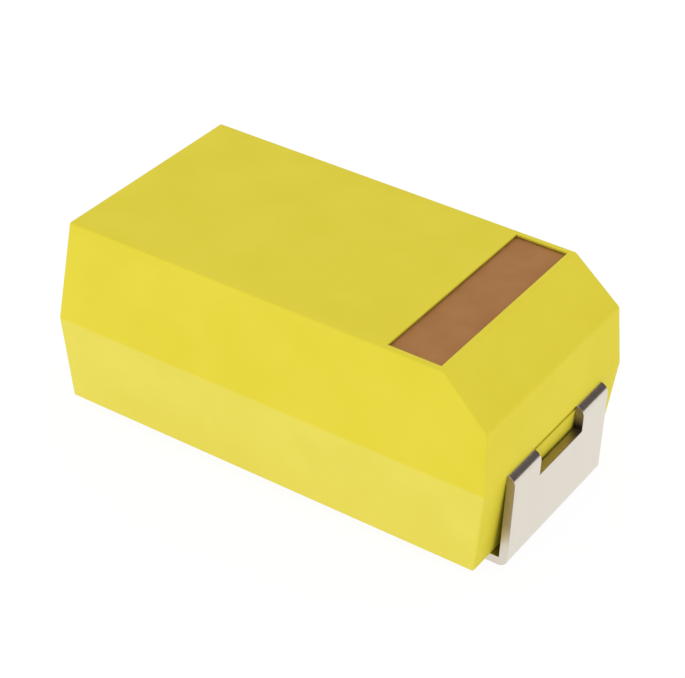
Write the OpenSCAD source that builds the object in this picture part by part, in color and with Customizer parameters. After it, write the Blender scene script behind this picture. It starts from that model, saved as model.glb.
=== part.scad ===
// Moulded solid tantalum chip capacitor, 6032-28 body.
//
// A sintered tantalum slug with its cathode coats sits on the shelf of one folded
// terminal. Its riser wire is welded to the tab of the other. Resin is moulded round
// them in one shot, and the two terminals fold down over the ends and under the case.
//
// X runs along the case, with the anode at +X. Y is symmetric. Z = 0 is the soldering
// plane, which both feet stand on, and all sizes are in millimetres.

/* [Case] */
// Length of the case at its parting line
case_l = 5.86; // [5.4:0.02:6.4]
// Width of the case at its parting line
case_w = 3.2; // [2.9:0.05:3.6]
// Height of the upper half, above the parting line
top_h = 1.32; // [1.15:0.01:1.6]
// Depth of the lower half, below the parting line
bottom_h = 1.15; // [1.05:0.01:1.3]
// Draft of the long sides of the upper half, in degrees
top_side_draft = 4.5; // [2:0.5:7]
// Draft of the ends of the upper half, in degrees
top_end_draft = 5.2; // [2:0.1:7]
// Draft of the sides and ends of the lower half, in degrees
bottom_draft = 5; // [2:0.5:7]

/* [Anode bevel] */
// Length of the bevel, seen from above
bevel_l = 0.61; // [0.3:0.01:0.7]
// Height of the bevel, seen from the side
bevel_h = 0.54; // [0.3:0.01:0.7]

/* [Glue pad] */
// Length of the raised pad under the case
pad_l = 2.8; // [1.6:0.1:3]
// Width of the raised pad
pad_w = 2.4; // [1.4:0.1:2.6]
// How far the pad stands out of the underside
pad_h = 0.05; // [0.02:0.01:0.1]

/* [Polarity stripe] */
// Width of the stripe, along the case
stripe_l = 0.68; // [0.3:0.02:1]
// Bare border between the stripe and the long top edges
stripe_side_border = 0.083; // [0.04:0.001:0.3]
// Bare border between the stripe and the bevel
stripe_bevel_border = 0.07; // [0.04:0.01:0.3]
// Depth of the recess that the stripe is laid in
stripe_recess = 0.055; // [0.03:0.005:0.08]
// Thickness of the stripe's film
stripe_t = 0.015; // [0.01:0.005:0.03]

/* [Terminals] */
// Thickness of the terminal strip
lead_t = 0.11; // [0.08:0.01:0.15]
// Width of both terminals outside the case
lead_w = 2.2; // [1.7:0.05:2.4]
// Length of each foot, out to the face of the terminal
foot_l = 1.3; // [1:0.05:1.5]
// Inside radius of the four outer bends
fold_r = 0.01; // [0.01:0.01:0.06]
// Gap between a foot and the underside of the case
foot_gap = 0.01; // [0.01:0.01:0.06]
// Width of the notch in the anode terminal
notch_w = 1; // [0.6:0.05:1.4]
// Depth of the notch, below the top of the strip
notch_h = 0.32; // [0.2:0.01:0.6]
// How far the notch runs into the case
notch_in = 0.05; // [0.02:0.01:0.1]
// Height of the groove that the notch leaves in the case
groove_h = 0.06; // [0.02:0.01:0.06]

/* [Anode tab] */
// Length of the full-width root of the tab, inside the case
tab_root_l = 0.25; // [0.2:0.01:0.3]
// Length of the tab, inside the case
tab_l = 0.75; // [0.6:0.01:0.85]
// Width of the tab where the wire is welded
tab_w = 1; // [0.6:0.05:1.4]

/* [Cathode shelf] */
// Straight run of the strip through the end wall
entry_l = 0.15; // [0.1:0.01:0.2]
// Inside radius of the two bends down to the shelf
joggle_r = 0.05; // [0.02:0.01:0.08]
// Length of the flat shelf under the slug
shelf_l = 2; // [1.4:0.05:2.6]
// Width of the strip inside the case
shelf_w = 1.8; // [1.2:0.05:2]

/* [Anode slug and wire] */
// Resin between the slug's coated end and the joggled leg
slug_end_gap = 0.17; // [0.05:0.01:0.5]
// Width of the slug
slug_w = 2.3; // [1.8:0.05:2.4]
// Height of the slug
slug_h = 1.45; // [1.1:0.05:1.5]
// Radius of the slug's long edges
slug_r = 0.12; // [0.05:0.01:0.3]
// Distance from the tab's end to the slug
wire_gap = 0.43; // [0.3:0.01:0.5]
// Diameter of the riser wire
wire_d = 0.3; // [0.2:0.01:0.4]
// How deep the wire is pressed into the slug
wire_in = 2.6; // [1:0.1:3]
// How long the wire lies on the tab
weld_l = 0.5; // [0.3:0.01:0.55]
// How far the weld flattens the wire onto the tab
weld_flat = 0.03; // [0.01:0.01:0.05]
// Diameter of the washer on the wire
washer_d = 0.9; // [0.6:0.05:1.2]
// Thickness of the washer
washer_t = 0.12; // [0.08:0.01:0.2]

/* [Coats] */
// Thickness of the manganese dioxide over the slug
oxide_t = 0.04; // [0.02:0.005:0.05]
// Thickness of the graphite coat
graphite_t = 0.02; // [0.01:0.005:0.03]
// Thickness of the silver coat
silver_t = 0.04; // [0.02:0.005:0.05]
// Bare oxide left between the slug's anode face and the graphite
graphite_stop = 0.2; // [0.1:0.01:0.3]
// Bare graphite left at the end of the silver
silver_stop = 0.12; // [0.05:0.01:0.2]
// Thickness of the adhesive between the silver and the shelf
adhesive_t = 0.05; // [0.02:0.01:0.08]
// Margin of bare shelf round the adhesive
adhesive_margin = 0.1; // [0.05:0.01:0.2]

/* [Hidden] */

$fn = 48;
// How far a cutting shape runs past what it cuts
over = 0.5;
right_angle = 90;

// Heights: the strip's top lies in the parting plane
underside_z = lead_t + foot_gap;
parting_z = underside_z + bottom_h;
top_z = parting_z + top_h;

// How far each drafted wall leans in by its far edge
top_side_lean = top_h * tan(top_side_draft);
top_end_lean = top_h * tan(top_end_draft);
bottom_lean = bottom_h * tan(bottom_draft);

// The bevel starts from the plain end face at its lower edge
bevel_foot_z = top_z - bevel_h;
bevel_foot_x = case_l / 2 - (top_h - bevel_h) * tan(top_end_draft);
bevel_top_x = bevel_foot_x - bevel_l;

// Terminals: the riser stands against the case's widest line
face_x = case_l / 2 + lead_t;
fold_mid_r = fold_r + lead_t / 2;
joggle_mid_r = joggle_r + lead_t / 2;
riser_l = parting_z - lead_t - 2 * fold_mid_r;
foot_run = foot_l - lead_t - fold_r;

// How far each coat's outside stands off the slug
graphite_g = oxide_t + graphite_t;
silver_g = graphite_g + silver_t;

// Wire and slug: the wire's flat lies on the tab, and the slug fills the length
// between the tab's end and the joggled leg
wire_z = parting_z + wire_d / 2 - weld_flat;
tab_end_x = case_l / 2 - tab_l;
joggle_face_x = -case_l / 2 + entry_l + joggle_r + lead_t;
slug_anode_x = tab_end_x - wire_gap;
slug_cathode_x = joggle_face_x + slug_end_gap + silver_g;
washer_x = slug_anode_x + oxide_t;
graphite_x = slug_anode_x - graphite_stop;
silver_x = graphite_x - silver_stop;

// Shelf: the leg is what is left of the drop once both joggle bends are taken off
shelf_top_z = wire_z - slug_h / 2 - silver_g - adhesive_t;
joggle_leg_l = parting_z - shelf_top_z - 2 * joggle_mid_r;
shelf_end_x = joggle_face_x + joggle_r + shelf_l;
adhesive_x = slug_cathode_x + adhesive_margin;
adhesive_l = shelf_end_x - adhesive_margin - adhesive_x;

// ---- Folded strip -------------------------------------------------------------

// One bend of the strip, seen edge on: it starts at the origin along +X and turns
// up for a positive turn and down for a negative one.
module bend(turn, inside_r) {
  mirror([0, turn < 0 ? 1 : 0, 0])
    translate([0, inside_r + lead_t / 2])
      intersection() {
        difference() {
          circle(r = inside_r + lead_t);
          circle(r = inside_r);
        }
        polygon([[0, 0], [0, -over], [over, -over], [over * sin(abs(turn)), -over * cos(turn)]]);
      }
}

// The strip seen edge on, along its middle line. Each step is a straight length, the
// turn that follows it in degrees, and the inside radius of that turn.
module folded_profile(steps, i = 0) {
  run = steps[i][0];
  turn = steps[i][1];
  mid_r = steps[i][2] + lead_t / 2;
  translate([0, -lead_t / 2]) square([run, lead_t]);
  if (i < len(steps) - 1)
    translate([run, 0]) {
      bend(turn, steps[i][2]);
      translate([mid_r * sin(abs(turn)), sign(turn) * mid_r * (1 - cos(turn))])
        rotate(turn) folded_profile(steps, i + 1);
    }
}

// A strip of the given width, standing up in XZ with its middle on Y = 0.
module folded_strip(steps, width) {
  rotate([right_angle, 0, 0])
    linear_extrude(height = width, center = true) folded_profile(steps);
}

// ---- Terminals ----------------------------------------------------------------

// Steps from the inner end of a foot up to the case's end wall
function foot_steps() = [
  [foot_run, right_angle, fold_r],
  [riser_l, right_angle, fold_r]
];

// What cuts the strip down to the given width from x_from to x_to, above the foot.
module narrowing(x_from, x_to, width) {
  side = (lead_w - width) / 2 + over;
  for (s = [-1, 1])
    translate([x_from, s * (width + side) / 2 - side / 2, underside_z])
      cube([x_to - x_from, side, top_z - underside_z]);
}

module anode_strip() {
  translate([face_x - foot_l, 0, lead_t / 2])
    folded_strip(concat(foot_steps(), [[tab_l - fold_r, 0, 0]]), lead_w);
}

module anode_terminal() {
  color("gainsboro")
    difference() {
      anode_strip();
      translate([case_l / 2 - notch_in, -notch_w / 2, parting_z - notch_h])
        cube([lead_t + over, notch_w, notch_h + over]);
      narrowing(tab_end_x - over, case_l / 2 - tab_root_l, tab_w);
    }
}

// The cathode strip, turned to the other end, with its joggle down to the shelf.
module cathode_strip() {
  translate([-face_x + foot_l, 0, lead_t / 2])
    mirror([1, 0, 0])
      folded_strip(concat(foot_steps(), [
        [entry_l - fold_r, right_angle, joggle_r],
        [joggle_leg_l, -right_angle, joggle_r],
        [shelf_l, 0, 0]
      ]), lead_w);
}

module cathode_terminal() {
  color("gainsboro")
    difference() {
      cathode_strip();
      narrowing(-case_l / 2 + entry_l, shelf_end_x + over, shelf_w);
    }
}

// ---- Anode slug and its coats -------------------------------------------------

// The slug's rounded block, grown by g all round its section, between two planes.
module slug_block(x_from, x_to, g) {
  w = slug_w + 2 * g;
  h = slug_h + 2 * g;
  r = slug_r + g;
  translate([x_from, 0, wire_z])
    rotate([right_angle, 0, right_angle])
      linear_extrude(height = x_to - x_from)
        union() {
          square([w, h - 2 * r], center = true);
          square([w - 2 * r, h], center = true);
          for (sy = [-1, 1], sz = [-1, 1])
            translate([sy * (w / 2 - r), sz * (h / 2 - r)]) circle(r = r);
        }
}

// A round bar along the riser wire's axis.
module wire_bar(x_from, x_to, d) {
  translate([x_from, 0, wire_z])
    rotate([0, right_angle, 0]) cylinder(d = d, h = x_to - x_from);
}

// The outside of the slug, and of each coat in turn. The oxide wraps the slug all
// over. Graphite and silver leave the anode end bare, so that they can't short to it.
module slug_form() { slug_block(slug_cathode_x, slug_anode_x, 0); }
module oxide_form() { slug_block(slug_cathode_x - oxide_t, washer_x, oxide_t); }
module graphite_form() { slug_block(slug_cathode_x - graphite_g, graphite_x, graphite_g); }
module silver_form() { slug_block(slug_cathode_x - silver_g, silver_x, silver_g); }
module wire_form() { wire_bar(slug_anode_x - wire_in, tab_end_x + weld_l, wire_d); }

module anode_wire() {
  color("slategray")
    difference() {
      wire_form();
      anode_terminal();
    }
}

module wire_washer() {
  color("white")
    difference() {
      wire_bar(washer_x, washer_x + washer_t, washer_d);
      wire_form();
    }
}

module anode_slug() {
  color("dimgray")
    difference() {
      slug_form();
      wire_form();
    }
}

module oxide_coat() {
  color("black")
    difference() {
      oxide_form();
      slug_form();
      wire_form();
    }
}

module graphite_coat() {
  color("darkslategray")
    difference() {
      graphite_form();
      oxide_form();
    }
}

module silver_coat() {
  color("silver")
    difference() {
      silver_form();
      graphite_form();
    }
}

// The pad between the shelf and the silver, made taller by grow at both faces.
module adhesive_block(grow) {
  pad_y = shelf_w - 2 * adhesive_margin;
  translate([adhesive_x, -pad_y / 2, shelf_top_z - grow])
    cube([adhesive_l, pad_y, adhesive_t + 2 * grow]);
}

module silver_adhesive() {
  color("lightgray") adhesive_block(0);
}

// Everything that the resin closes round. The forms run into each other, so that no
// skin of resin is left between two pieces that touch.
module moulded_in() {
  anode_terminal();
  cathode_terminal();
  wire_form();
  wire_bar(slug_anode_x, washer_x + washer_t, washer_d);
  oxide_form();
  graphite_form();
  silver_form();
  adhesive_block(lead_t / 2);
}

// ---- Case ---------------------------------------------------------------------

// The case seen from the side: drafted ends, and the bevel at the anode end.
module side_profile() {
  polygon([
    [-case_l / 2 + bottom_lean, underside_z],
    [case_l / 2 - bottom_lean, underside_z],
    [case_l / 2, parting_z],
    [bevel_foot_x, bevel_foot_z],
    [bevel_top_x, top_z],
    [-case_l / 2 + top_end_lean, top_z],
    [-case_l / 2, parting_z]
  ]);
}

// The case seen from its end: the long sides' draft, on both halves.
module end_profile() {
  polygon([
    [-case_w / 2 + bottom_lean, underside_z],
    [case_w / 2 - bottom_lean, underside_z],
    [case_w / 2, parting_z],
    [case_w / 2 - top_side_lean, top_z],
    [-case_w / 2 + top_side_lean, top_z],
    [-case_w / 2, parting_z]
  ]);
}

// Where the two profiles cross, each end and each side has its own draft.
module case_blank() {
  intersection() {
    rotate([right_angle, 0, 0])
      linear_extrude(height = case_w + over, center = true) side_profile();
    rotate([right_angle, 0, right_angle])
      linear_extrude(height = case_l + over, center = true) end_profile();
  }
}

module glue_pad() {
  translate([-pad_l / 2, -pad_w / 2, underside_z - pad_h])
    cube([pad_l, pad_w, pad_h + over]);
}

// The marked rectangle on the top face, from the given depth up.
module stripe_block(depth, height) {
  w = case_w - 2 * top_side_lean - 2 * stripe_side_border;
  translate([bevel_top_x - stripe_bevel_border - stripe_l, -w / 2, top_z - depth])
    cube([stripe_l, w, height]);
}

module polarity_stripe() {
  color("sienna") stripe_block(stripe_recess, stripe_t);
}

module case() {
  color("gold")
    difference() {
      union() {
        case_blank();
        glue_pad();
      }
      moulded_in();
      stripe_block(stripe_recess, stripe_recess + over);
      // the groove that the notch leaves under the parting line
      translate([case_l / 2 - notch_in, -notch_w / 2, parting_z - groove_h])
        cube([notch_in + over, notch_w, groove_h]);
    }
}

case();
polarity_stripe();
anode_terminal();
cathode_terminal();
anode_wire();
wire_washer();
anode_slug();
oxide_coat();
graphite_coat();
silver_coat();
silver_adhesive();
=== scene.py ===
# %% [markdown]
# # A moulded tantalum chip capacitor
#
# The frame holds the part's solids: a resin case, two folded terminals, a marking
# film, and the sealed works inside. This lesson models the outside again with the
# softness of the real thing, gives every piece a finish, and lights it on a pale
# table. Everything is in metres and in the frame's own place, so a six millimetre
# part is 0.006 units long here.

# %% Load the frame
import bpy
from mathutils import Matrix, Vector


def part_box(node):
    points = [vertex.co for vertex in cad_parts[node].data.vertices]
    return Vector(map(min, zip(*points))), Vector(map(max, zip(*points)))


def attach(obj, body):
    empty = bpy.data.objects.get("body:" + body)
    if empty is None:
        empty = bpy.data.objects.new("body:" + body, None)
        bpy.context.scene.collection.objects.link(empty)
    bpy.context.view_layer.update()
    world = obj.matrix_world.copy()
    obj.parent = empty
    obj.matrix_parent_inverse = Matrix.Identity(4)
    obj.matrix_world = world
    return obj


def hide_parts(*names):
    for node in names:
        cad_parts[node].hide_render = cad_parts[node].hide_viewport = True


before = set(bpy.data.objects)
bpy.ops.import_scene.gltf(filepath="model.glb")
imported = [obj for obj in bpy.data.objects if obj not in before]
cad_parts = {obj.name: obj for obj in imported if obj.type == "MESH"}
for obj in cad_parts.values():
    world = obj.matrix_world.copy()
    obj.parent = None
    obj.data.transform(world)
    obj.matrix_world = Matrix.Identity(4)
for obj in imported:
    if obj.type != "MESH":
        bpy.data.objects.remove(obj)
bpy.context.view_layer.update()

import math
import bmesh
import bpy
from mathutils import Matrix, Vector

MM = 0.001
print("nodes:", sorted(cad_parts))

# %% [markdown]
# ## A few tools for the bench
#
# Blender's modelling operators act on whatever is selected. A hand picks with the
# mouse. A script has no mouse, so it picks by a rule instead, such as "the faces
# whose middle is at the top". These helpers do that, and one of them reports on a
# mesh, because a closed solid with no open edge is the first thing to check.

# %% Picking and reporting
def only(obj):
    """Select this object alone and make it the active one."""
    bpy.ops.object.select_all(action="DESELECT")
    obj.select_set(True)
    bpy.context.view_layer.objects.active = obj


def edit(obj):
    """Go into edit mode on this object alone, with nothing picked."""
    only(obj)
    bpy.ops.object.mode_set(mode="EDIT")
    bpy.ops.mesh.select_all(action="DESELECT")


def done():
    """Leave edit mode."""
    bpy.ops.object.mode_set(mode="OBJECT")


def pick(kind, rule):
    """In edit mode, pick the faces or edges that a rule says yes to."""
    bpy.ops.mesh.select_mode(type="FACE" if kind == "faces" else "EDGE")
    bpy.ops.mesh.select_all(action="DESELECT")
    mesh = bpy.context.active_object.data
    work = bmesh.from_edit_mesh(mesh)
    found = [part for part in getattr(work, kind) if rule(part)]
    for part in found:
        part.select_set(True)
    work.select_flush_mode()
    bmesh.update_edit_mesh(mesh)
    return len(found)


def middle(part):
    """The middle of a face or an edge."""
    return sum((v.co for v in part.verts), Vector()) / len(part.verts)


def close(a, b, within=1e-4 * MM):
    """Whether two lengths are the same, but for rounding."""
    return abs(a - b) < within


def level(face, square_on=0.9):
    """Whether a face looks straight up or down."""
    return abs(face.normal.z) > square_on


def report(obj):
    """Print a mesh's size, volume and open edges."""
    work = bmesh.new()
    work.from_mesh(obj.data)
    open_edges = sum(not e.is_manifold for e in work.edges)
    low = [min(v.co[i] for v in work.verts) / MM for i in range(3)]
    high = [max(v.co[i] for v in work.verts) / MM for i in range(3)]
    print(f"{obj.name}: {len(work.faces)} faces, {open_edges} open edges, "
          f"{work.calc_volume(signed=True) / MM ** 3:.4f} mm3, "
          f"from {[round(v, 3) for v in low]} to {[round(v, 3) for v in high]}")
    work.free()


# %% [markdown]
# ## The sizes to work to
#
# The frame says where each solid is. The heights that matter are the parting plane,
# where the two halves of the mould met, and the underside, which stands just clear
# of the board. The strip that both terminals are cut from leaves the case with its
# top in the parting plane, so the top of the terminals gives that height.

# %% Read the frame's heights and lengths
case_low, case_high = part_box("case")
stripe_low, stripe_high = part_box("polarity_stripe")
anode_low, anode_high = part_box("anode_terminal")

case_l = case_high.x - case_low.x
case_w = case_high.y - case_low.y
pad_step = 0.05 * MM
top_z = case_high.z
parting_z = anode_high.z
underside_z = case_low.z + pad_step
top_h = top_z - parting_z
bottom_h = parting_z - underside_z
strip_t = anode_high.x - case_high.x
strip_w = anode_high.y - anode_low.y
print(f"case {case_l / MM:.2f} by {case_w / MM:.2f}, parting plane at {parting_z / MM:.2f}, "
      f"strip {strip_w / MM:.2f} by {strip_t / MM:.2f}")

# %% [markdown]
# ## The case: one block, drafted to leave the mould
#
# A moulded case tapers away from its parting line on every side, so that each half
# of the mould can let go of it. Starting from a block of the full size, the block is
# bisected at the parting plane, and then the top and bottom faces are drawn in.
# Scaling the picked face is how a hand would do it too. It keeps the walls flat,
# which cutting each wall at an angle would also do, but with four times the work.

# %% Draft the block
end_draft = math.radians(5.2)
side_draft = math.radians(4.5)
lower_draft = math.radians(5)
top_lean_x = top_h * math.tan(end_draft)
top_lean_y = top_h * math.tan(side_draft)
bottom_lean = bottom_h * math.tan(lower_draft)
weld = 1e-4 * MM

bpy.ops.object.select_all(action="DESELECT")
bpy.ops.mesh.primitive_cube_add(
    size=1,
    location=(0, 0, (top_z + underside_z) / 2),
    scale=(case_l, case_w, top_z - underside_z),
)
case = bpy.context.active_object
case.name = "moulded_case"
bpy.ops.object.transform_apply(location=True, rotation=True, scale=True)

edit(case)
bpy.ops.mesh.select_all(action="SELECT")
bpy.ops.mesh.bisect(plane_co=(0, 0, parting_z), plane_no=(0, 0, 1), threshold=weld)


def draw_in(height, lean_x, lean_y):
    """Scale the flat face at this height so that its edges move in by the leans."""
    pick("faces", lambda f: close(middle(f).z, height) and level(f))
    bpy.ops.transform.resize(
        value=(1 - 2 * lean_x / case_l, 1 - 2 * lean_y / case_w, 1),
        center_override=(0, 0, height),
    )


draw_in(top_z, top_lean_x, top_lean_y)
draw_in(underside_z, bottom_lean, bottom_lean)
done()
report(case)

# %% [markdown]
# ## The bevel at the anode end
#
# A long shallow bevel marks the positive end, so that it can be felt and seen. It is
# longer than it is high, and the bevel operator makes both sides alike. Bisecting
# with a slanted plane, throwing away what lies outside and filling the hole gives
# exactly the face that is wanted.

# %% Cut the bevel
bevel_l = 0.61 * MM
bevel_h = 0.54 * MM
bevel_foot_x = case_high.x - top_lean_x * (top_h - bevel_h) / top_h
bevel_foot = Vector((bevel_foot_x, 0, top_z - bevel_h))

edit(case)
bpy.ops.mesh.select_all(action="SELECT")
bpy.ops.mesh.bisect(
    plane_co=bevel_foot,
    plane_no=(bevel_h, 0, bevel_l),
    use_fill=True,
    clear_outer=True,
    threshold=weld,
)
done()
report(case)

# %% [markdown]
# ## Soft edges
#
# No moulded edge is sharp: the cutter that sank the mould leaves a small radius in
# each corner. It is only a fiftieth of a millimetre, but it catches the light all
# the way round and makes the resin look like resin. The parting line is left out,
# because the two halves of the mould meet there in a crisp line. It turns by only
# about ten degrees, so a rule on the edge's angle tells the two apart.

# %% Round the outer edges
edge_r = 0.022 * MM
edge_steps = 4
sharp_turn = math.radians(25)

edit(case)
rounded = pick("edges", lambda e: e.calc_face_angle() > sharp_turn)
bpy.ops.mesh.bevel(offset=edge_r, segments=edge_steps, profile=0.5, clamp_overlap=True)
done()
print("edges rounded:", rounded)
report(case)

# %% [markdown]
# ## The glue pad and the recess for the stripe
#
# Under the case a low pad takes a dot of adhesive when the board is wave soldered.
# On top, the polarity stripe is laid in a shallow recess. Both are made the same
# way: four bisects mark a rectangle on a flat face, and the rectangle is then
# extruded out or in. A bisect only cuts what is picked, so the walls stay whole.

# %% Mark a rectangle on a flat face and push it
def mark_rectangle(height, low, high):
    """Cut the flat face at this height along the four sides of a rectangle."""
    def on_face(f):
        return close(middle(f).z, height) and level(f)

    def within(f):
        at = middle(f)
        return on_face(f) and low[0] < at.x < high[0] and low[1] < at.y < high[1]

    for axis, across in ((0, Vector((1, 0, 0))), (1, Vector((0, 1, 0)))):
        for value in (low[axis], high[axis]):
            pick("faces", on_face)
            bpy.ops.mesh.bisect(plane_co=across * value, plane_no=across, threshold=weld)
    return pick("faces", within)


pad_l = 2.8 * MM
pad_w = 2.4 * MM
pad_corner = Vector((pad_l / 2, pad_w / 2))
recess_step = top_z - stripe_low.z

edit(case)
print("pad faces:", mark_rectangle(underside_z, -pad_corner, pad_corner))
bpy.ops.mesh.extrude_region_move(TRANSFORM_OT_translate={"value": (0, 0, -pad_step)})
print("recess faces:", mark_rectangle(top_z, stripe_low, stripe_high))
bpy.ops.mesh.extrude_region_move(TRANSFORM_OT_translate={"value": (0, 0, -recess_step)})
done()
report(case)

# %% [markdown]
# ## The terminals: a strip folded step by step
#
# Both terminals are stamped from one thin strip and folded round the case. Here the
# fold is followed as the press makes it. A small face of the strip's own section is
# the start. Extrude takes it along each straight run, and spin swings it round each
# bend, so every bend keeps the strip's thickness and has as many steps as it needs.

# %% Fold a strip
bend_steps = 8


def start_strip(name, x, z):
    """The strip's end, standing across the part at x with its middle at height z."""
    bpy.ops.object.select_all(action="DESELECT")
    bpy.ops.mesh.primitive_plane_add(
        size=1, location=(x, 0, z), rotation=(0, math.radians(90), 0))
    strip = bpy.context.active_object
    strip.name = name
    strip.scale = (strip_t, strip_w, 1)
    bpy.ops.object.transform_apply(location=True, rotation=True, scale=True)
    edit(strip)
    bpy.ops.mesh.select_mode(type="FACE")
    bpy.ops.mesh.select_all(action="SELECT")
    return strip


def run(x, z):
    """Draw the picked end straight on."""
    bpy.ops.mesh.extrude_region_move(TRANSFORM_OT_translate={"value": (x, 0, z)})


def fold(centre_x, centre_z, turn):
    """Swing the picked end by a quarter turn round a line across the part."""
    bpy.ops.mesh.spin(
        steps=bend_steps,
        angle=math.radians(90),
        center=(centre_x, 0, centre_z),
        axis=(0, turn, 0),
    )


def finish_strip():
    """Join what meets, turn all faces outwards, and leave edit mode."""
    bpy.ops.mesh.select_all(action="SELECT")
    bpy.ops.mesh.remove_doubles(threshold=weld)
    bpy.ops.mesh.normals_make_consistent(inside=False)
    done()


def narrow_end(width):
    """Keep on with only the middle part of the picked end, as wide as this."""
    mesh = bpy.context.active_object.data
    end = [f for f in bmesh.from_edit_mesh(mesh).faces if f.select][0]
    end_x = middle(end).x

    def in_end(f):
        return all(close(v.co.x, end_x) for v in f.verts)

    for edge_y in (-width / 2, width / 2):
        pick("faces", in_end)
        bpy.ops.mesh.bisect(plane_co=(0, edge_y, 0), plane_no=(0, 1, 0), threshold=weld)
    pick("faces", lambda f: in_end(f) and abs(middle(f).y) < width / 2)


# %% [markdown]
# ## The anode terminal
#
# The foot lies flat on the board. The strip turns up at the end of the case, rises
# against it, turns in at the parting line, and ends inside in a narrow tab that the
# riser wire is welded to. The two outer bends are folded tight, so their inside
# radius is tiny and their outside radius is about the strip's thickness.

# %% Fold the anode terminal
fold_r = 0.01 * MM
foot_l = 1.3 * MM
low_fold_z = strip_t + fold_r
high_fold_z = parting_z - strip_t - fold_r
tab_root_l = 0.25 * MM
tab_w = 1.0 * MM
tab_l = 0.75 * MM

fold_x = case_high.x - fold_r
foot_x = anode_high.x - foot_l
anode = start_strip("folded_anode_terminal", foot_x, strip_t / 2)
run(fold_x - foot_x, 0)
fold(fold_x, low_fold_z, 1)
run(0, high_fold_z - low_fold_z)
fold(fold_x, high_fold_z, 1)
run(case_high.x - tab_root_l - fold_x, 0)
narrow_end(tab_w)
run(tab_root_l - tab_l, 0)
finish_strip()
report(anode)

# %% [markdown]
# ## The notch
#
# A notch in the top of the anode's riser lets a tester see and touch which end is
# which, and lets the resin hold the strip. It was punched before the strip was
# folded, so its walls are square to the strip. A Boolean modifier with a plain block
# does what the punch did. A second, lower block later cuts the shallow groove that
# the notch leaves in the wall of the case.

# %% Punch the notch
def block(name, low, high):
    """A plain block between two corners, used only to cut with."""
    bpy.ops.object.select_all(action="DESELECT")
    low, high = Vector(low), Vector(high)
    bpy.ops.mesh.primitive_cube_add(size=1, location=(low + high) / 2, scale=high - low)
    made = bpy.context.active_object
    made.name = name
    bpy.ops.object.transform_apply(location=True, rotation=True, scale=True)
    return made


def cut(piece, cutter):
    """Take the cutter's form out of the piece, and throw the cutter away."""
    only(piece)
    bpy.ops.object.modifier_add(type="BOOLEAN")
    boolean = piece.modifiers[-1]
    boolean.operation = "DIFFERENCE"
    boolean.solver = "EXACT"
    boolean.object = cutter
    bpy.ops.object.modifier_apply(modifier=boolean.name)
    bpy.data.objects.remove(cutter)


notch_w = 1.0 * MM
notch_h = 0.32 * MM
notch_in = 0.05 * MM
past = 0.5 * MM

notch_low = (case_high.x - notch_in, -notch_w / 2, parting_z - notch_h)
notch_high = (case_high.x + past, notch_w / 2, parting_z + past)
cut(anode, block("notch_punch", notch_low, notch_high))
report(anode)

# %% [markdown]
# ## The cathode terminal
#
# The other end is folded alike outside. Inside, the strip steps down in a joggle to
# a long shelf, which the slug is glued to. The step is two more quarter bends with a
# short leg between them, and there the strip is a little narrower.

# %% Fold the cathode terminal
entry_l = 0.15 * MM
joggle_r = 0.05 * MM
shelf_l = 2.0 * MM
shelf_w = 1.8 * MM
pad_low, pad_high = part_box("silver_adhesive")
shelf_top_z = pad_low.z

joggle_x = case_low.x + entry_l
joggle_top_z = parting_z - strip_t - joggle_r
joggle_low_z = shelf_top_z + joggle_r
shelf_fold_x = joggle_x + 2 * joggle_r + strip_t
cathode = start_strip("folded_cathode_terminal", -foot_x, strip_t / 2)
run(foot_x - fold_x, 0)
fold(-fold_x, low_fold_z, -1)
run(0, high_fold_z - low_fold_z)
fold(-fold_x, high_fold_z, -1)
run(joggle_x + fold_x, 0)
narrow_end(shelf_w)
fold(joggle_x, joggle_top_z, -1)
run(0, joggle_low_z - joggle_top_z)
fold(shelf_fold_x, joggle_low_z, 1)
run(shelf_l, 0)
finish_strip()
report(cathode)

# %% [markdown]
# ## The press leaves soft edges too
#
# A shear rounds the strip's edges over by a few thousandths of a millimetre. A Bevel
# modifier with an angle limit finds those edges by itself, and leaves the bends
# alone, because each of their steps turns by only eleven degrees.

# %% Ease the sheared edges
sheared_r = 0.005 * MM
sheared_steps = 2
sheared_turn = math.radians(40)


def ease(piece):
    """Round every edge of the piece that turns sharply."""
    only(piece)
    bpy.ops.object.modifier_add(type="BEVEL")
    bevel = piece.modifiers[-1]
    bevel.width = sheared_r
    bevel.segments = sheared_steps
    bevel.limit_method = "ANGLE"
    bevel.angle_limit = sheared_turn
    bpy.ops.object.modifier_apply(modifier=bevel.name)
    report(piece)


ease(anode)
ease(cathode)

# %% [markdown]
# ## Moulding the case round its works
#
# Resin is shot round the finished works, so the inside of the case is exactly the
# outside of everything in it. That is how it is made here as well: each form is made
# as a plain solid and taken out of the block. The coats are thin cups one inside the
# other, but the resin only meets their outsides, so each is one rounded bar here.
# The bars run into each other, which leaves no paper-thin skin between two cuts.

# %% Take the works out of the block
def bar(node, radius):
    """A solid bar as big as a node, with its four long edges rounded."""
    low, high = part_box(node)
    made = block(node + "_form", low, high)
    edit(made)
    pick("edges", lambda e: not close(e.verts[0].co.x, e.verts[1].co.x))
    bpy.ops.mesh.bevel(offset=radius, segments=8, profile=0.5)
    done()
    return made


def rod(name, x_from, x_to, radius, height):
    """A round bar along the case at this height."""
    bpy.ops.object.select_all(action="DESELECT")
    bpy.ops.mesh.primitive_cylinder_add(
        vertices=48, radius=radius, depth=x_to - x_from,
        location=((x_from + x_to) / 2, 0, height), rotation=(0, math.radians(90), 0))
    made = bpy.context.active_object
    made.name = name
    bpy.ops.object.transform_apply(location=True, rotation=True, scale=True)
    return made


def own_copy(piece):
    """A copy of a piece, with a mesh of its own, to cut with."""
    copy = bpy.data.objects.new(piece.name + "_form", piece.data.copy())
    bpy.context.scene.collection.objects.link(copy)
    return copy


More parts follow.
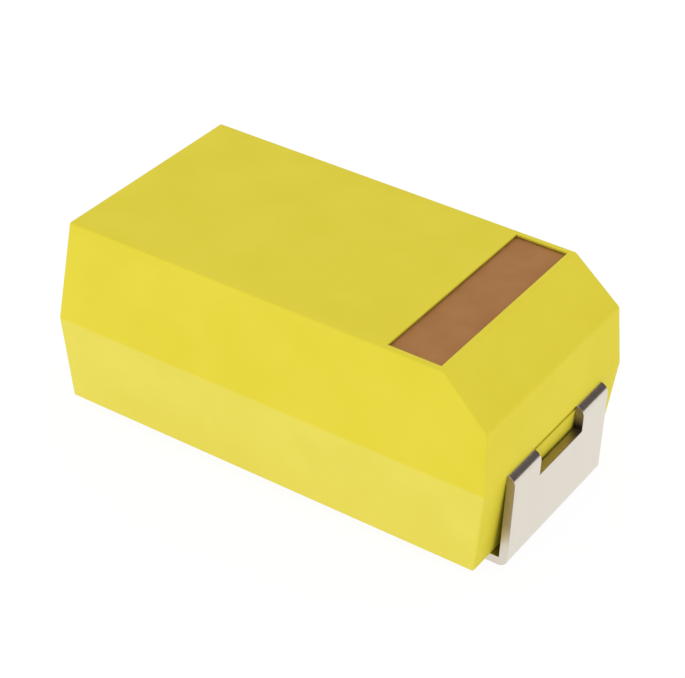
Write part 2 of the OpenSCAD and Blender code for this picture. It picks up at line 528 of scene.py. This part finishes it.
slug_r = 0.12 * MM
slug_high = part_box("anode_slug")[1]
wire_low, wire_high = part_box("anode_wire")
washer_low, washer_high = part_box("wire_washer")
wire_z = (washer_low.z + washer_high.z) / 2
wire_r = (wire_high.y - wire_low.y) / 2

for node in ("oxide_coat", "graphite_coat", "silver_coat"):
    coat_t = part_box(node)[1].z - slug_high.z
    cut(case, bar(node, slug_r + coat_t))
cut(case, rod("washer_form", slug_high.x, washer_high.x, washer_high.y, wire_z))
cut(case, rod("wire_form", slug_high.x, wire_high.x, wire_r, wire_z))
report(case)

# %% Take out the adhesive, the strips and the groove
pad_in = Vector((0, 0, 0.02 * MM))
cut(case, block("adhesive_form", pad_low - pad_in, pad_high + pad_in))
for terminal in (anode, cathode):
    cut(case, own_copy(terminal))

groove_h = 0.06 * MM
groove_low = (case_high.x - notch_in, -notch_w / 2, parting_z - groove_h)
groove_high = (case_high.x + past, notch_w / 2, parting_z)
cut(case, block("groove_form", groove_low, groove_high))
report(case)

# %% [markdown]
# ## The polarity stripe
#
# The stripe is a film of marking ink that was stamped into the recess and cured. It
# is thinner than a hair. Surface tension leaves its rim a little rounded where it
# meets the walls of the recess, so the film is a block whose top face is inset and
# whose rim then falls away by a third of the film's thickness.

# %% Lay the film
stripe = block("marking_film", stripe_low, stripe_high)
film_t = stripe_high.z - stripe_low.z
rim = 0.03 * MM


def on_rim(corner):
    """Whether a corner of the film is one of the four round its top."""
    return close(corner.co.z, stripe_high.z) and close(abs(corner.co.y), stripe_high.y)


edit(stripe)
pick("faces", lambda f: close(middle(f).z, stripe_high.z))
bpy.ops.mesh.inset(thickness=rim, depth=0)
print("rim edges:", pick("edges", lambda e: all(on_rim(v) for v in e.verts)))
bpy.ops.transform.translate(value=(0, 0, -film_t / 3))
done()
report(stripe)

# %% [markdown]
# ## Shading: flat where it is flat, soft where it is round
#
# Smooth shading blends the normals of faces that meet, and on a wide flat face that
# next to a small radius gives a false glow. A Weighted Normal modifier lets the
# largest face decide. It takes areas this small for nothing, so the mesh is blown up
# a thousand times while the modifier is applied. The parting line is marked sharp,
# because its turn is too small for the angle rule to keep it.

# %% Shade the pieces
smooth_turn = math.radians(35)


def shade(piece):
    """Shade a piece smooth where it is round, with its wide faces flat."""
    only(piece)
    bpy.ops.object.shade_smooth_by_angle(angle=smooth_turn, keep_sharp_edges=True)
    bpy.ops.object.modifier_add(type="WEIGHTED_NORMAL")
    weighted = piece.modifiers[-1]
    weighted.keep_sharp = True
    piece.data.transform(Matrix.Scale(1 / MM, 4))
    bpy.ops.object.modifier_apply(modifier=weighted.name)
    piece.data.transform(Matrix.Scale(MM, 4))


def on_parting(edge):
    """Whether an edge runs along the parting line."""
    return all(close(v.co.z, parting_z) for v in edge.verts)


edit(case)
print("parting edges:", pick("edges", on_parting))
bpy.ops.mesh.mark_sharp()
done()
for piece in (case, anode, cathode, stripe):
    shade(piece)

# %% [markdown]
# ## Finishes
#
# Each finish is a Principled shader with a little structure of its own: the grain of
# a spark-eroded mould in the resin, the drawn lines of rolled strip in the tin. The
# patterns read Object coordinates, which here are metres on the real part, so a
# noise scale of 20000 gives grains of a twentieth of a millimetre. The same few
# nodes come back in every finish, so each has a helper that adds it and wires it up.

# %% Start a finish and put it on
def finish(name, roughness, metallic=0.0, specular=0.5):
    """A new material, and its node tree's Principled shader and Object coordinates."""
    made = bpy.data.materials.new(name)
    made.use_nodes = True
    shader = made.node_tree.nodes["Principled BSDF"]
    shader.inputs["Roughness"].default_value = roughness
    shader.inputs["Metallic"].default_value = metallic
    shader.inputs["Specular IOR Level"].default_value = specular
    place = made.node_tree.nodes.new("ShaderNodeTexCoord").outputs["Object"]
    return made, shader, place


def wear(piece, made):
    """Put this finish on all of a piece."""
    piece.data.materials.clear()
    piece.data.materials.append(made)


# %% Patterns, colours and grain
def noise(made, place, scale, detail=2.0):
    """A noise pattern, from 0 to 1."""
    node = made.node_tree.nodes.new("ShaderNodeTexNoise")
    node.inputs["Scale"].default_value = scale
    node.inputs["Detail"].default_value = detail
    made.node_tree.links.new(place, node.inputs["Vector"])
    return node.outputs["Fac"]


def ramp(made, pattern, low, high):
    """Turn the middle of a pattern into a range of colours."""
    node = made.node_tree.nodes.new("ShaderNodeValToRGB")
    first, last = node.color_ramp.elements
    first.position, first.color = 0.35, (*low, 1)
    last.position, last.color = 0.65, (*high, 1)
    made.node_tree.links.new(pattern, node.inputs["Fac"])
    return node.outputs["Color"]


def bump(made, shader, pattern, depth):
    """Raise the surface by a pattern, as deep as this."""
    node = made.node_tree.nodes.new("ShaderNodeBump")
    node.inputs["Distance"].default_value = depth
    made.node_tree.links.new(pattern, node.inputs["Height"])
    made.node_tree.links.new(node.outputs["Normal"], shader.inputs["Normal"])


def colour(made, shader, output):
    """Give the shader this colour."""
    made.node_tree.links.new(output, shader.inputs["Base Color"])


# %% [markdown]
# ## Resin
#
# The case is epoxy filled with ground silica and coloured yellow. Nothing polishes
# it after the mould, so it is dull, with a fine grain and clouds so weak that they
# are felt more than seen. One colour all over looks like paint, so a wide noise
# drifts between two near yellows, and a fine one raises the grain.

# %% Resin
resin_rough = 0.6
resin_shine = 0.15
yellow = (0.73, 0.62, 0.037)
bright_yellow = (0.75, 0.64, 0.044)
grain_scale = 30000
grain_depth = 0.0008 * MM

resin, resin_shader, place = finish("moulded_resin", resin_rough, specular=resin_shine)
clouds = noise(resin, place, scale=1500)
upper = ramp(resin, clouds, yellow, bright_yellow)
bump(resin, resin_shader, noise(resin, place, grain_scale, detail=3), grain_depth)
wear(case, resin)
print("resin grain in mm:", round(1 / grain_scale / MM, 3))

# %% [markdown]
# ## Painted light on the lower half of the mould
#
# Below the parting line the long sides are painted a paler yellow: painted light,
# standing in for the light and sheen that they catch from the table below. The piece
# is one body, so this can't be a second slot without a cut all the way round. Height
# decides which half a point belongs to instead, and the turn of its normal decides
# whether it lies on a long side.

# %% Share out two colours by height
def axis_of(made, vector, axis):
    """One of a vector's three numbers."""
    node = made.node_tree.nodes.new("ShaderNodeSeparateXYZ")
    made.node_tree.links.new(vector, node.inputs["Vector"])
    return node.outputs[axis]


def between(made, pattern, zero_at, one_at):
    """0 where the pattern is at the first number, and 1 where it is at the second."""
    node = made.node_tree.nodes.new("ShaderNodeMapRange")
    node.inputs["From Min"].default_value = zero_at
    node.inputs["From Max"].default_value = one_at
    made.node_tree.links.new(pattern, node.inputs["Value"])
    return node.outputs["Result"]


def blend(made, share, first, second):
    """The first colour where the share is 0, and the second where it is 1."""
    node = made.node_tree.nodes.new("ShaderNodeMix")
    node.data_type = "RGBA"
    made.node_tree.links.new(share, node.inputs["Factor"])
    made.node_tree.links.new(first, node.inputs["A"])
    made.node_tree.links.new(second, node.inputs["B"])
    return node.outputs["Result"]


# %% Painted light on the lower long sides
step = 0.01 * MM
# Painted light: a paler yellow on the long sides below the parting line, for the light they
# catch from the table.
painted_lit_yellow = ramp(resin, clouds, (0.745, 0.65, 0.085), (0.765, 0.67, 0.094))
below = between(resin, axis_of(resin, place, "Z"), parting_z + step, parting_z - step)
turned = resin.node_tree.nodes["Texture Coordinate"].outputs["Normal"]
sideways = resin.node_tree.nodes.new("ShaderNodeMath")
sideways.operation = "ABSOLUTE"
resin.node_tree.links.new(axis_of(resin, turned, "Y"), sideways.inputs[0])
painted_light_share = resin.node_tree.nodes.new("ShaderNodeMath")
painted_light_share.operation = "MULTIPLY"
resin.node_tree.links.new(sideways.outputs["Value"], painted_light_share.inputs[0])
resin.node_tree.links.new(below, painted_light_share.inputs[1])
colour(resin, resin_shader, blend(resin, painted_light_share.outputs["Value"], upper, painted_lit_yellow))
print("resin nodes:", len(resin.node_tree.nodes))

# %% [markdown]
# ## Painted shade on the wall of the recess
#
# The marking is laid into a shallow recess. Its walls are only a twentieth of a
# millimetre tall, but they draw a dark line round the stripe: painted shade, a dark
# olive painted on the walls where the recess shades them. A second material slot on
# the case does this: the wall faces are found by their height and place, and are told
# to use it. Height fades the painted shade into plain resin at half the wall.

# %% Painted shade on the wall of the recess
darkest_below = stripe_high.z + 0.010 * MM
unshaded_above = stripe_high.z + 0.025 * MM
painted_wall_shade, shader, place = finish("resin_painted_shade", resin_rough, specular=resin_shine)
shade_noise = noise(painted_wall_shade, place, scale=9000, detail=3)
# Painted shade: a dark olive at the foot of the recess walls.
shade_colour = ramp(painted_wall_shade, shade_noise, (0.20, 0.14, 0.018), (0.30, 0.21, 0.024))
plain = ramp(painted_wall_shade, shade_noise, yellow, bright_yellow)
unshaded_share = between(painted_wall_shade, axis_of(painted_wall_shade, place, "Z"), darkest_below, unshaded_above)
colour(painted_wall_shade, shader, blend(painted_wall_shade, unshaded_share, shade_colour, plain))
bump(painted_wall_shade, shader, noise(painted_wall_shade, place, grain_scale, detail=3), grain_depth)
case.data.materials.append(painted_wall_shade)


def on_recess_wall(face):
    """Whether a face of the case stands round the stripe, above its film."""
    at = face.center
    upright = abs(face.normal.z) < 0.1
    along = stripe_low.x - step < at.x < stripe_high.x + step
    across = abs(at.y) < stripe_high.y + step
    return upright and along and across and stripe_low.z < at.z < top_z


walls = [face for face in case.data.polygons if on_recess_wall(face)]
for face in walls:
    face.material_index = 1
print("stained walls:", len(walls))

# %% [markdown]
# ## Marking ink
#
# The stripe tells which end is positive. It is a brown ink or film, as dull as the
# resin under it, a little uneven where it was laid on. Two browns and a soft noise
# give the unevenness, and a fine bump breaks up its shine.

# %% Marking ink
ink, shader, place = finish("marking_ink", resin_rough, specular=resin_shine)
uneven = noise(ink, place, scale=2500, detail=4)
colour(ink, shader, ramp(ink, uneven, (0.365, 0.16, 0.05), (0.405, 0.185, 0.06)))
bump(ink, shader, noise(ink, place, scale=20000, detail=3), depth=0.001 * MM)
wear(stripe, ink)
print("ink nodes:", len(ink.node_tree.nodes))

# %% [markdown]
# ## Tin
#
# The terminals are cut from nickel-iron strip, rolled and then plated with tin.
# Rolling leaves faint lines that run along the strip. A noise that is squeezed 16000
# times across the strip, along Y, and only 600 times along the other two axes gives
# those lines. The plating makes the strip bright, but not a mirror, so the roughness
# stays near a fifth.

# %% Tin
def stretch(made, place, scale):
    """Scale the coordinates by a different amount along each axis."""
    mapping = made.node_tree.nodes.new("ShaderNodeMapping")
    mapping.inputs["Scale"].default_value = scale
    made.node_tree.links.new(place, mapping.inputs["Vector"])
    return mapping.outputs["Vector"]


tin, shader, place = finish("tinned_strip", roughness=0.22, metallic=1.0)
rolled = noise(tin, stretch(tin, place, (600, 16000, 600)), scale=1, detail=3)
colour(tin, shader, ramp(tin, rolled, (0.72, 0.665, 0.575), (0.735, 0.68, 0.59)))
bump(tin, shader, rolled, depth=0.0002 * MM)
print("tin nodes:", len(tin.node_tree.nodes))

# %% [markdown]
# ## Bare metal and painted reflections on the sheared edges
#
# The strip is plated first and cut to its shape afterwards, so the cut edges show
# the metal inside. Their darker brown is partly that bare metal and partly a painted
# reflection of the shaded yellow case. Near the board they are painted pale instead, a
# painted reflection of the white table. Height decides: below a third of a millimetre
# they are pale, above twice that they are brown, and in between the one fades into the
# other.

# %% Bare metal and painted reflections on the sheared edges
pale_below = 0.3 * MM
brown_above = 0.6 * MM
bare_and_reflection, shader, place = finish("sheared_edge", roughness=0.35, metallic=1.0)
drawn = noise(bare_and_reflection, stretch(bare_and_reflection, place, (2000, 9000, 2000)), scale=1, detail=3)
# Partly bare metal, partly a painted reflection of the shaded yellow case.
bare_and_reflected_case = ramp(bare_and_reflection, drawn, (0.38, 0.31, 0.24), (0.42, 0.35, 0.28))
# Painted reflection: pale, for the white table that the lower edges face.
painted_table_reflection = ramp(bare_and_reflection, drawn, (0.68, 0.63, 0.55), (0.72, 0.67, 0.59))
climb = between(bare_and_reflection, axis_of(bare_and_reflection, place, "Z"), pale_below, brown_above)
colour(bare_and_reflection, shader, blend(bare_and_reflection, climb, painted_table_reflection, bare_and_reflected_case))
bump(bare_and_reflection, shader, drawn, depth=0.0005 * MM)
print("bare nodes:", len(bare_and_reflection.node_tree.nodes))

# %% [markdown]
# ## Painted shade on the back of the strip
#
# The faces that look back at the case, and the walls of the notch, are painted dark:
# painted shade for the narrow gap between the strip and the case, which makes it read
# as a deep one. They clear up only near the top, into a brown that is partly bare metal
# and partly a painted reflection of the case. This is a third slot on the terminals,
# and two rules say which face wears what.

# %% Painted shade on the back of the strip
dark_below = 1.00 * MM
bright_above = 1.15 * MM
gap_shade, shader, place = finish("strip_painted_shade", roughness=0.5, metallic=1.0)
gap_noise = noise(gap_shade, place, scale=6000, detail=4)
# Painted shade: near black for the gap behind the strip and the walls of the notch.
shade_dark = ramp(gap_shade, gap_noise, (0.03, 0.025, 0.02), (0.06, 0.05, 0.04))
bare_and_reflected_case = ramp(gap_shade, gap_noise, (0.34, 0.28, 0.20), (0.40, 0.33, 0.25))
climb = between(gap_shade, axis_of(gap_shade, place, "Z"), dark_below, bright_above)
colour(gap_shade, shader, blend(gap_shade, climb, shade_dark, bare_and_reflected_case))
bump(gap_shade, shader, gap_noise, depth=0.0005 * MM)
print("tarnish nodes:", len(gap_shade.node_tree.nodes))

# %% Which face wears what
mostly = 0.8


def is_cut_edge(face, outward):
    """Whether a face was cut with the strip's shape; outward is +1 or -1 along X."""
    at = face.center
    past_wall = outward * at.x > case_high.x - notch_in
    in_notch = past_wall and strip_t < at.z < parting_z - notch_h / 3
    sheared = abs(face.normal.y) > mostly
    return sheared or (in_notch and face.normal.z > mostly)


def is_painted_shade(face, outward):
    """Whether a face looks back at the case or across the notch."""
    at = face.center
    past_wall = outward * at.x > case_high.x - notch_in
    in_riser = strip_t < at.z < parting_z - strip_t / 2
    inner_side = abs(face.normal.y) > mostly and abs(at.y) < strip_w / 2 - step
    looks_back = outward * face.normal.x < -mostly
    return (looks_back and in_riser) or (inner_side and past_wall)


for terminal, outward in ((anode, 1), (cathode, -1)):
    wear(terminal, tin)
    terminal.data.materials.append(bare_and_reflection)
    terminal.data.materials.append(gap_shade)
    count = [0, 0, 0]
    for face in terminal.data.polygons:
        if is_painted_shade(face, outward):
            face.material_index = 2
        elif is_cut_edge(face, outward):
            face.material_index = 1
        count[face.material_index] += 1
    print(terminal.name, "tin, bare and painted_shade faces:", count)

# %% [markdown]
# ## Hand the pieces over
#
# Each new piece now takes the place of the solid it was made after, and rides on
# the part's only body.

# %% Hand the pieces over to the frame
for piece, node, slot in (
    (case, "case", "resin"),
    (stripe, "polarity_stripe", "marking"),
    (anode, "anode_terminal", "tinned_strip"),
    (cathode, "cathode_terminal", "tinned_strip"),
):
    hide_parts(node)
    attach(piece, "root")
    print(piece.name, "stands for", node)

# %% [markdown]
# ## The works inside
#
# Nobody sees the slug and its coats until the case is cut away, but they are real
# pieces, and each has a finish that a cut would show. The slug is a sponge of
# sintered tantalum grains, the oxide over it is nearly black and rough, the graphite
# is dark with a slight shine, and the silver paint is a dull, grainy metal. They differ
# in two colours, in the size of their clouds and grains, and in how deep the grains
# are, so one helper makes them all.

# %% The works inside
def inner(node, name, rough, metal, dark, light, cloud, grain, deep):
    """Give a solid of the frame a finish of clouds between two colours, and grains."""
    made, shader, place = finish(name, rough, metal)
    clouded = noise(made, place, cloud, detail=4)
    colour(made, shader, ramp(made, clouded, dark, light))
    bump(made, shader, noise(made, place, grain, detail=4), deep * MM)
    wear(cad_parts[node], made)
    print(node, "wears", made.name)


inner("anode_wire", "tantalum_wire", 0.35, 1.0,
      (0.30, 0.31, 0.34), (0.35, 0.36, 0.39), cloud=4000, grain=20000, deep=0.001)
inner("wire_washer", "fluoropolymer", 0.45, 0.0,
      (0.82, 0.82, 0.80), (0.87, 0.87, 0.85), cloud=4000, grain=20000, deep=0.001)
inner("anode_slug", "sintered_tantalum", 0.8, 1.0,
      (0.08, 0.08, 0.085), (0.15, 0.15, 0.155), cloud=20000, grain=40000, deep=0.006)
inner("oxide_coat", "manganese_dioxide", 0.75, 0.0,
      (0.015, 0.015, 0.017), (0.028, 0.028, 0.03), cloud=9000, grain=30000, deep=0.004)

# %% Graphite and silver
inner("graphite_coat", "graphite", 0.5, 0.0,
      (0.035, 0.035, 0.04), (0.055, 0.055, 0.06), cloud=7000, grain=25000, deep=0.003)
inner("silver_coat", "silver_paint", 0.5, 1.0,
      (0.56, 0.56, 0.54), (0.64, 0.64, 0.62), cloud=12000, grain=30000, deep=0.003)
inner("silver_adhesive", "silver_adhesive", 0.55, 1.0,
      (0.47, 0.47, 0.45), (0.56, 0.56, 0.54), cloud=12000, grain=30000, deep=0.004)

# %% [markdown]
# ## The table
#
# Small parts are shown on white. A pale table takes the part's shadow, glows faintly
# like a light table and throws light back up under it. That, with a paler colour
# painted on the long sides below the parting line as painted light, makes the undercut
# sides so bright. To the camera, and in the metal's reflections, it is nearly pure
# white: a light path node tells those rays apart, and for them most of the table's
# colour is an even white glow. A tenth of the real table is left in, and that tenth
# keeps the shadow. Its back is clear, so that the underside can be looked at as
# through a glass table. It lies a thousandth of a millimetre low, because two faces in
# one plane would flicker.

# %% The table
table_size = 400 * MM
table_pale = 0.9
table_glow = 0.28
white_share = 0.9
table_gap = 0.001 * MM
bpy.ops.object.select_all(action="DESELECT")
bpy.ops.mesh.primitive_plane_add(size=table_size, location=(0, 0, -table_gap))
table = bpy.context.active_object
table.name = "table"


def seen_white(tree):
    """1 for rays from the camera, from polished metal and through glass, otherwise 0."""
    rays = tree.nodes.new("ShaderNodeLightPath")
    total = rays.outputs["Is Camera Ray"]
    for name in ("Is Glossy Ray", "Is Transmission Ray"):
        most = tree.nodes.new("ShaderNodeMath")
        most.operation = "MAXIMUM"
        tree.links.new(total, most.inputs[0])
        tree.links.new(rays.outputs[name], most.inputs[1])
        total = most.outputs["Value"]
    return total


# %% The table's finish
paper, shader, place = finish("pale_table", roughness=1.0, specular=0.0)
shader.inputs["Base Color"].default_value = (table_pale, table_pale, table_pale, 1)
tree = paper.node_tree
glow = tree.nodes.new("ShaderNodeEmission")
glow.inputs["Strength"].default_value = table_glow
real = tree.nodes.new("ShaderNodeAddShader")
tree.links.new(shader.outputs["BSDF"], real.inputs[0])
tree.links.new(glow.outputs["Emission"], real.inputs[1])

white = tree.nodes.new("ShaderNodeEmission")
share = tree.nodes.new("ShaderNodeMath")
share.operation = "MULTIPLY"
share.inputs[1].default_value = white_share
tree.links.new(seen_white(tree), share.inputs[0])
mix = tree.nodes.new("ShaderNodeMixShader")
tree.links.new(share.outputs["Value"], mix.inputs["Fac"])
tree.links.new(real.outputs["Shader"], mix.inputs[1])
tree.links.new(white.outputs["Emission"], mix.inputs[2])

# %% The table's clear back
side = tree.nodes.new("ShaderNodeNewGeometry")
clear = tree.nodes.new("ShaderNodeBsdfTransparent")
either = tree.nodes.new("ShaderNodeMixShader")
tree.links.new(side.outputs["Backfacing"], either.inputs["Fac"])
tree.links.new(mix.outputs["Shader"], either.inputs[1])
tree.links.new(clear.outputs["BSDF"], either.inputs[2])
tree.links.new(either.outputs["Shader"], tree.nodes["Material Output"].inputs["Surface"])
wear(table, paper)
print("table in mm:", [round(side / MM) for side in table.dimensions])

# %% [markdown]
# ## The light tent
#
# A tent of white cloth lights a small part evenly from all round. The world does
# that here: a plain white background, at a level that leaves the colours as they
# are. Seen directly, and in the metal, the cloth is pure white.

# %% The light tent
tent_level = 0.93
world = bpy.data.worlds.new("light_tent")
bpy.context.scene.world = world
world.use_nodes = True
tree = world.node_tree
cloth = tree.nodes["Background"]
cloth.inputs["Color"].default_value = (1, 1, 1, 1)
cloth.inputs["Strength"].default_value = tent_level
white = tree.nodes.new("ShaderNodeBackground")
white.inputs["Color"].default_value = (1, 1, 1, 1)
mix = tree.nodes.new("ShaderNodeMixShader")
tree.links.new(seen_white(tree), mix.inputs["Fac"])
tree.links.new(cloth.outputs["Background"], mix.inputs[1])
tree.links.new(white.outputs["Background"], mix.inputs[2])
tree.links.new(mix.outputs["Shader"], tree.nodes["World Output"].inputs["Surface"])
print("tent level:", tent_level)

# %% [markdown]
# ## The camera
#
# A long lens from a fair way off shows a chip nearly without distortion. The camera
# looks down on the anode end and one long side, so that the stripe, the bevel and
# the folded terminal are all in view. Its place is worked out from a point to look
# at, two angles and a distance, which is easier to adjust than three coordinates.

# %% The camera
aim = Vector((0.040, 0.031, 1.274)) * MM
turn = math.radians(31.65)
rise = math.radians(34.26)
roll = math.radians(2.78)
away = 25.58 * MM
lens = 113.42
back = Vector((
    math.sin(turn) * math.cos(rise),
    -math.cos(turn) * math.cos(rise),
    math.sin(rise),
))
bpy.ops.object.camera_add(location=aim + back * away)
camera = bpy.context.active_object
camera.rotation_mode = "QUATERNION"
straight = (-back).to_track_quat("-Z", "Y")
camera.rotation_quaternion = straight @ Matrix.Rotation(roll, 3, "Z").to_quaternion()
camera.data.lens = lens
camera.data.sensor_width = 36
camera.data.clip_start = 1 * MM
camera.data.clip_end = 1000 * MM
bpy.context.scene.camera = camera
bpy.context.scene.view_settings.view_transform = "Standard"
print("camera at mm:", [round(v / MM, 2) for v in camera.location])

# %% [markdown]
# ## Two lamps and a dark flag
#
# The tent alone lights every side alike, and the form goes flat. A large soft lamp
# on the left lifts the long side, and a weaker one on the right the end. Polished
# metal shows what stands before it, so in an all white tent its bend would vanish.
# A photographer hangs a strip of dark felt behind the part, and the bend picks it
# up as a dark line. The flag here is hidden from the camera and from soft light, so
# that only the metal can see it.

# %% Lamps
def soft_lamp(place, size, energy):
    """A square lamp of this size at a place, turned to the part."""
    bpy.ops.object.light_add(type="AREA", location=Vector(place) * MM)
    lamp = bpy.context.active_object
    lamp.rotation_mode = "QUATERNION"
    lamp.rotation_quaternion = (aim - lamp.location).to_track_quat("-Z", "Y")
    lamp.data.size = size * MM
    lamp.data.energy = energy
    print("lamp at mm:", place, "watts:", energy)


soft_lamp((-20, -40, 15), size=30, energy=0.0018)
soft_lamp((40, -10, 15), size=30, energy=0.00035)

# %% The dark flag
flag_at = Vector((32, 70, 45)) * MM
flag_wide = 140 * MM
flag_tall = 80 * MM
bpy.ops.object.select_all(action="DESELECT")
bpy.ops.mesh.primitive_plane_add(size=1, location=flag_at)
flag = bpy.context.active_object
flag.name = "dark_flag"
flag.rotation_mode = "QUATERNION"
flag.rotation_quaternion = (aim - flag_at).to_track_quat("Z", "Y")
flag.scale = (flag_wide, flag_tall, 1)
bpy.ops.object.transform_apply(location=True, rotation=True, scale=True)
flag.visible_camera = False
flag.visible_diffuse = False
flag.visible_shadow = False
felt, shader, place = finish("dark_felt", roughness=1.0)
shader.inputs["Base Color"].default_value = (0.10, 0.085, 0.085, 1)
wear(flag, felt)
print("flag:", flag.name)
